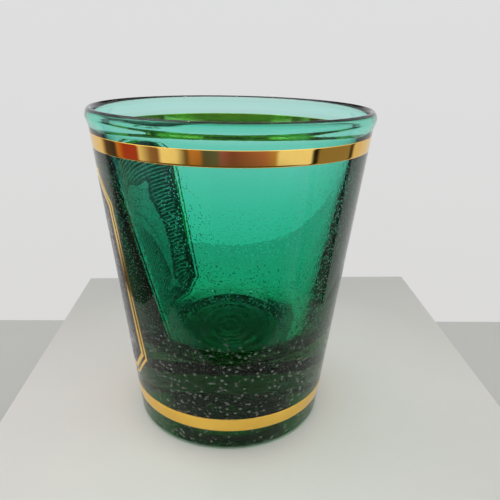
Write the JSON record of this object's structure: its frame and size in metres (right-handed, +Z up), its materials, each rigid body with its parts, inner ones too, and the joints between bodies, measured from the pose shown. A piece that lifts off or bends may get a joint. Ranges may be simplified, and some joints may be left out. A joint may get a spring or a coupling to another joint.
{
  "type": "shot glass",
  "caption": "Tapered thick-based green shot glass with a rounded lip, gilt bands near the rim and foot, and a framed enamel panel on one side.",
  "frame": {"origin": "centre of the foot on the resting plane", "axes": "+Z up along the cup's axis, -Y towards the viewer of the plain front, printed panel on the -X side"},
  "size_m": [0.051, 0.051, 0.06],
  "materials": {
    "green_glass": "body-tinted emerald green glass, fire-polished",
    "gilt": "bright fired liquid gold",
    "dark_enamel": "dark fired enamel print, semi-gloss",
    "silver_enamel": "silvery fired enamel print, semi-gloss"
  },
  "bodies": {
    "root": {"glass_body": "green_glass", "upper_gold_band": "gilt", "lower_gold_band": "gilt", "frame_outer_line": "gilt", "frame_inner_line": "gilt", "ink_field": "dark_enamel", "dolphin": "silver_enamel", "sky_stroke_1": "silver_enamel", "sky_stroke_2": "silver_enamel", "sky_stroke_3": "silver_enamel", "sky_stroke_4": "silver_enamel", "shade_stroke_1": "silver_enamel", "shade_stroke_2": "silver_enamel", "shade_stroke_3": "silver_enamel", "shade_stroke_4": "silver_enamel", "wave_stroke_1": "silver_enamel", "wave_stroke_2": "silver_enamel", "wave_stroke_3": "silver_enamel"}
  },
  "joints": []
}
